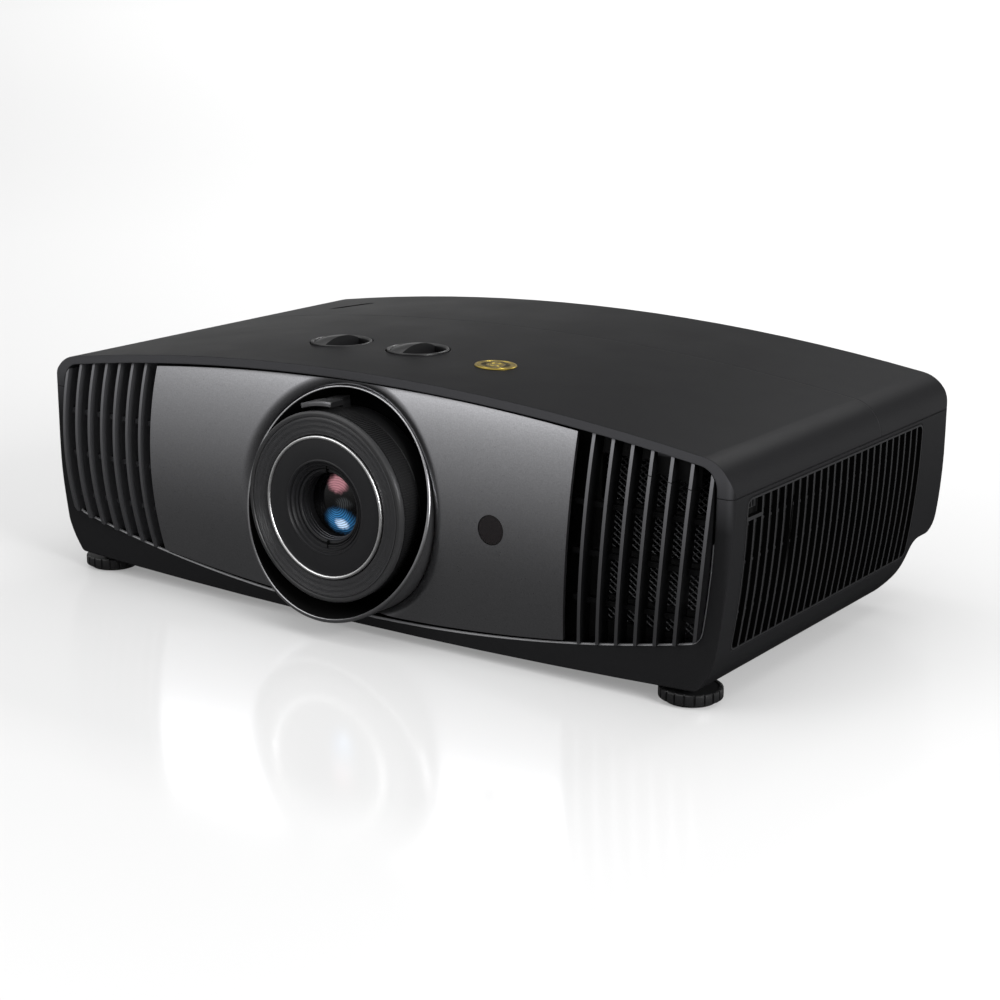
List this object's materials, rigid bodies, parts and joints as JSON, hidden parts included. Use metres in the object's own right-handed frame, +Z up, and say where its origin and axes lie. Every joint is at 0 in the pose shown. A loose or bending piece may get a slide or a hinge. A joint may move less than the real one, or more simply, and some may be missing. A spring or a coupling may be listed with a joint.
{
  "type": "home projector",
  "caption": "Wide low home projector with a crowned top, metallic fascia, collared zoom lens, slatted grilles, lens-shift dials, lift-off covers and screw feet.",
  "frame": {"origin": "on the floor under the middle of the object's box", "axes": "+X along the width (right of the front as drawn), -Y out of the lens, +Z up"},
  "size_m": [0.4934, 0.2994, 0.1601],
  "materials": {
    "case_plastic": "fine satin texture, black",
    "fascia_paint": "metallic dark grey paint, satin",
    "grille_plastic": "satin black",
    "mesh_wire": "black painted wire mesh",
    "ir_plastic": "dark infrared window",
    "ring_plastic": "satin black with fine grooves",
    "accent_metal": "diamond-cut bright aluminium",
    "coated_glass": "coated optical glass",
    "barrel_metal": "black anodised",
    "rod_steel": "ground steel",
    "dial_plastic": "satin black",
    "badge_metal": "brushed gold",
    "filter_foam": "open foam",
    "panel_plastic": "fine texture",
    "socket_plastic": "moulded black",
    "socket_metal": "plated steel",
    "circuit_board": "solder mask",
    "engine_casting": "cast",
    "fan_plastic": "moulded",
    "lamp_plastic": "heat-resistant",
    "reflector_glass": "dichroic coated",
    "wheel_glass": "colour filter glass",
    "motor_metal": "plain",
    "insert_brass": "turned",
    "foot_rubber": "moulded",
    "foot_plastic": "satin black"
  },
  "bodies": {
    "case": {"bottom_case": "case_plastic", "front_top_cover": "case_plastic", "left_side_grille": "case_plastic", "front_fascia": "fascia_paint", "left_front_grille": "grille_plastic", "right_front_grille": "grille_plastic", "front_subframe": "grille_plastic", "mesh_screens": "mesh_wire", "ir_window": "ir_plastic", "lens_collar": "ring_plastic", "lens_mount": "barrel_metal", "guide_rods": "rod_steel", "case_screws": "rod_steel", "top_badge": "badge_metal", "rear_panel": "panel_plastic", "power_inlet": "socket_plastic", "jack_sockets": "socket_plastic", "hdmi_sockets": "socket_metal", "usb_sockets": "socket_metal", "lan_socket": "socket_metal", "main_board": "circuit_board", "supply_board": "circuit_board", "optical_engine": "engine_casting", "heat_sink": "engine_casting", "exhaust_fan_frame": "fan_plastic", "lamp_fan_frame": "fan_plastic", "lamp_housing": "lamp_plastic", "lamp_reflector": "reflector_glass", "wheel_motor": "motor_metal", "mount_inserts": "insert_brass", "rear_feet": "foot_rubber"},
    "lamp_cover": {"lamp_cover": "case_plastic"},
    "filter": {"filter_cover": "case_plastic", "dust_filter": "filter_foam"},
    "latch": {"filter_latch": "grille_plastic"},
    "release_tab": {"grille_release_tab": "grille_plastic"},
    "lift_carriage": {"vertical_shift_plate": "barrel_metal", "cross_rods": "rod_steel"},
    "lens_carriage": {"side_shift_plate": "barrel_metal", "lens_barrel": "barrel_metal", "lens_baffle": "ring_plastic"},
    "focus": {"focus_ring": "ring_plastic"},
    "front_cell": {"lens_cell": "ring_plastic", "accent_ring": "accent_metal", "front_glass": "coated_glass"},
    "zoom": {"zoom_ring": "ring_plastic"},
    "zoom_group": {"zoom_lens_group": "coated_glass"},
    "vertical_dial": {"vertical_shift_dial": "dial_plastic"},
    "side_dial": {"side_shift_dial": "dial_plastic"},
    "exhaust_rotor": {"exhaust_fan_rotor": "fan_plastic"},
    "lamp_rotor": {"lamp_fan_rotor": "fan_plastic"},
    "wheel": {"colour_wheel": "wheel_glass"},
    "left_pad": {"foot_pad_left": "foot_rubber"},
    "left_screw": {"foot_screw_left": "foot_plastic"},
    "right_pad": {"foot_pad_right": "foot_rubber"},
    "right_screw": {"foot_screw_right": "foot_plastic"},
    "key_power": {"key_power": "dial_plastic"},
    "key_menu": {"key_menu": "dial_plastic"},
    "key_select": {"key_select": "dial_plastic"},
    "key_back": {"key_back": "dial_plastic"}
  },
  "joints": [
    {"name": "lamp_cover_slide", "type": "slide", "parent": "case", "child": "lamp_cover", "axis": [0, 1, 0], "range_m": [0, 0.09]},
    {"name": "filter_pull", "type": "slide", "parent": "case", "child": "filter", "axis": [1, 0, 0], "range_m": [0, 0.06]},
    {"name": "latch_slide", "type": "slide", "parent": "filter", "child": "latch", "axis": [0, 0, -1], "range_m": [0, 0.0027], "stiffness_N_per_m": 150, "springref_m": -0.001},
    {"name": "tab_press", "type": "slide", "parent": "case", "child": "release_tab", "axis": [0, 1, 0], "range_m": [0, 0.0025], "stiffness_N_per_m": 300, "springref_m": -0.001},
    {"name": "vertical_shift", "type": "slide", "parent": "case", "child": "lift_carriage", "axis": [0, 0, 1], "range_m": [-0.0035, 0.0035]},
    {"name": "side_shift", "type": "slide", "parent": "lift_carriage", "child": "lens_carriage", "axis": [1, 0, 0], "range_m": [-0.0024, 0.0024]},
    {"name": "vertical_dial_turn", "type": "hinge", "parent": "case", "child": "vertical_dial", "pos_m": [-0.071, -0.04875, 0.15], "axis": [0, 0, 1], "range_deg": [-170, 170]},
    {"name": "side_dial_turn", "type": "hinge", "parent": "case", "child": "side_dial", "pos_m": [-0.0118, -0.04875, 0.15], "axis": [0, 0, 1], "range_deg": [-170, 170]},
    {"name": "focus_turn", "type": "hinge", "parent": "lens_carriage", "child": "focus", "pos_m": [-0.008, 0, 0.079], "axis": [0, 1, 0], "range_deg": [-35.5, 35.5]},
    {"name": "focus_move", "type": "slide", "parent": "lens_carriage", "child": "front_cell", "axis": [0, 1, 0], "range_m": [-0.0015, 0.0015]},
    {"name": "zoom_turn", "type": "hinge", "parent": "lens_carriage", "child": "zoom", "pos_m": [-0.008, 0, 0.079], "axis": [0, 1, 0], "range_deg": [-15.2, 15.2]},
    {"name": "zoom_move", "type": "slide", "parent": "lens_carriage", "child": "zoom_group", "axis": [0, 1, 0], "range_m": [-0.004, 0.004]},
    {"name": "exhaust_fan_spin", "type": "hinge", "parent": "case", "child": "exhaust_rotor", "pos_m": [-0.2297, -0.01125, 0.076], "axis": [1, 0, 0], "continuous": true},
    {"name": "lamp_fan_spin", "type": "hinge", "parent": "case", "child": "lamp_rotor", "pos_m": [0.1567, -0.07225, 0.076], "axis": [0, 1, 0], "continuous": true},
    {"name": "colour_wheel_spin", "type": "hinge", "parent": "case", "child": "wheel", "pos_m": [0.068, -0.03125, 0.085], "axis": [1, 0, 0], "continuous": true},
    {"name": "left_foot_height", "type": "slide", "parent": "case", "child": "left_pad", "axis": [0, 0, -1], "range_m": [0, 0.015]},
    {"name": "left_foot_turn", "type": "hinge", "parent": "left_pad", "child": "left_screw", "pos_m": [-0.2163, -0.10825, 0.005], "axis": [0, 0, -1], "range_deg": [-10, 5410]},
    {"name": "right_foot_height", "type": "slide", "parent": "case", "child": "right_pad", "axis": [0, 0, -1], "range_m": [0, 0.015]},
    {"name": "right_foot_turn", "type": "hinge", "parent": "right_pad", "child": "right_screw", "pos_m": [0.2163, -0.10825, 0.005], "axis": [0, 0, -1], "range_deg": [-10, 5410]},
    {"name": "key_power_press", "type": "slide", "parent": "case", "child": "key_power", "axis": [1, 0, 0], "range_m": [0, 0.0008], "stiffness_N_per_m": 400, "springref_m": -0.0005},
    {"name": "key_menu_press", "type": "slide", "parent": "case", "child": "key_menu", "axis": [1, 0, 0], "range_m": [0, 0.0008], "stiffness_N_per_m": 400, "springref_m": -0.0005},
    {"name": "key_select_press", "type": "slide", "parent": "case", "child": "key_select", "axis": [1, 0, 0], "range_m": [0, 0.0008], "stiffness_N_per_m": 400, "springref_m": -0.0005},
    {"name": "key_back_press", "type": "slide", "parent": "case", "child": "key_back", "axis": [1, 0, 0], "range_m": [0, 0.0008], "stiffness_N_per_m": 400, "springref_m": -0.0005}
  ],
  "couplings": [
    {"joint": "vertical_dial_turn", "follows": "vertical_shift", "rad_per_m": 842.74},
    {"joint": "side_dial_turn", "follows": "side_shift", "rad_per_m": 1229},
    {"joint": "focus_turn", "follows": "focus_move", "rad_per_m": 407.24},
    {"joint": "zoom_turn", "follows": "zoom_move", "rad_per_m": 65.45},
    {"joint": "left_foot_turn", "follows": "left_foot_height", "rad_per_m": 6283.2},
    {"joint": "right_foot_turn", "follows": "right_foot_height", "rad_per_m": 6283.2}
  ]
}
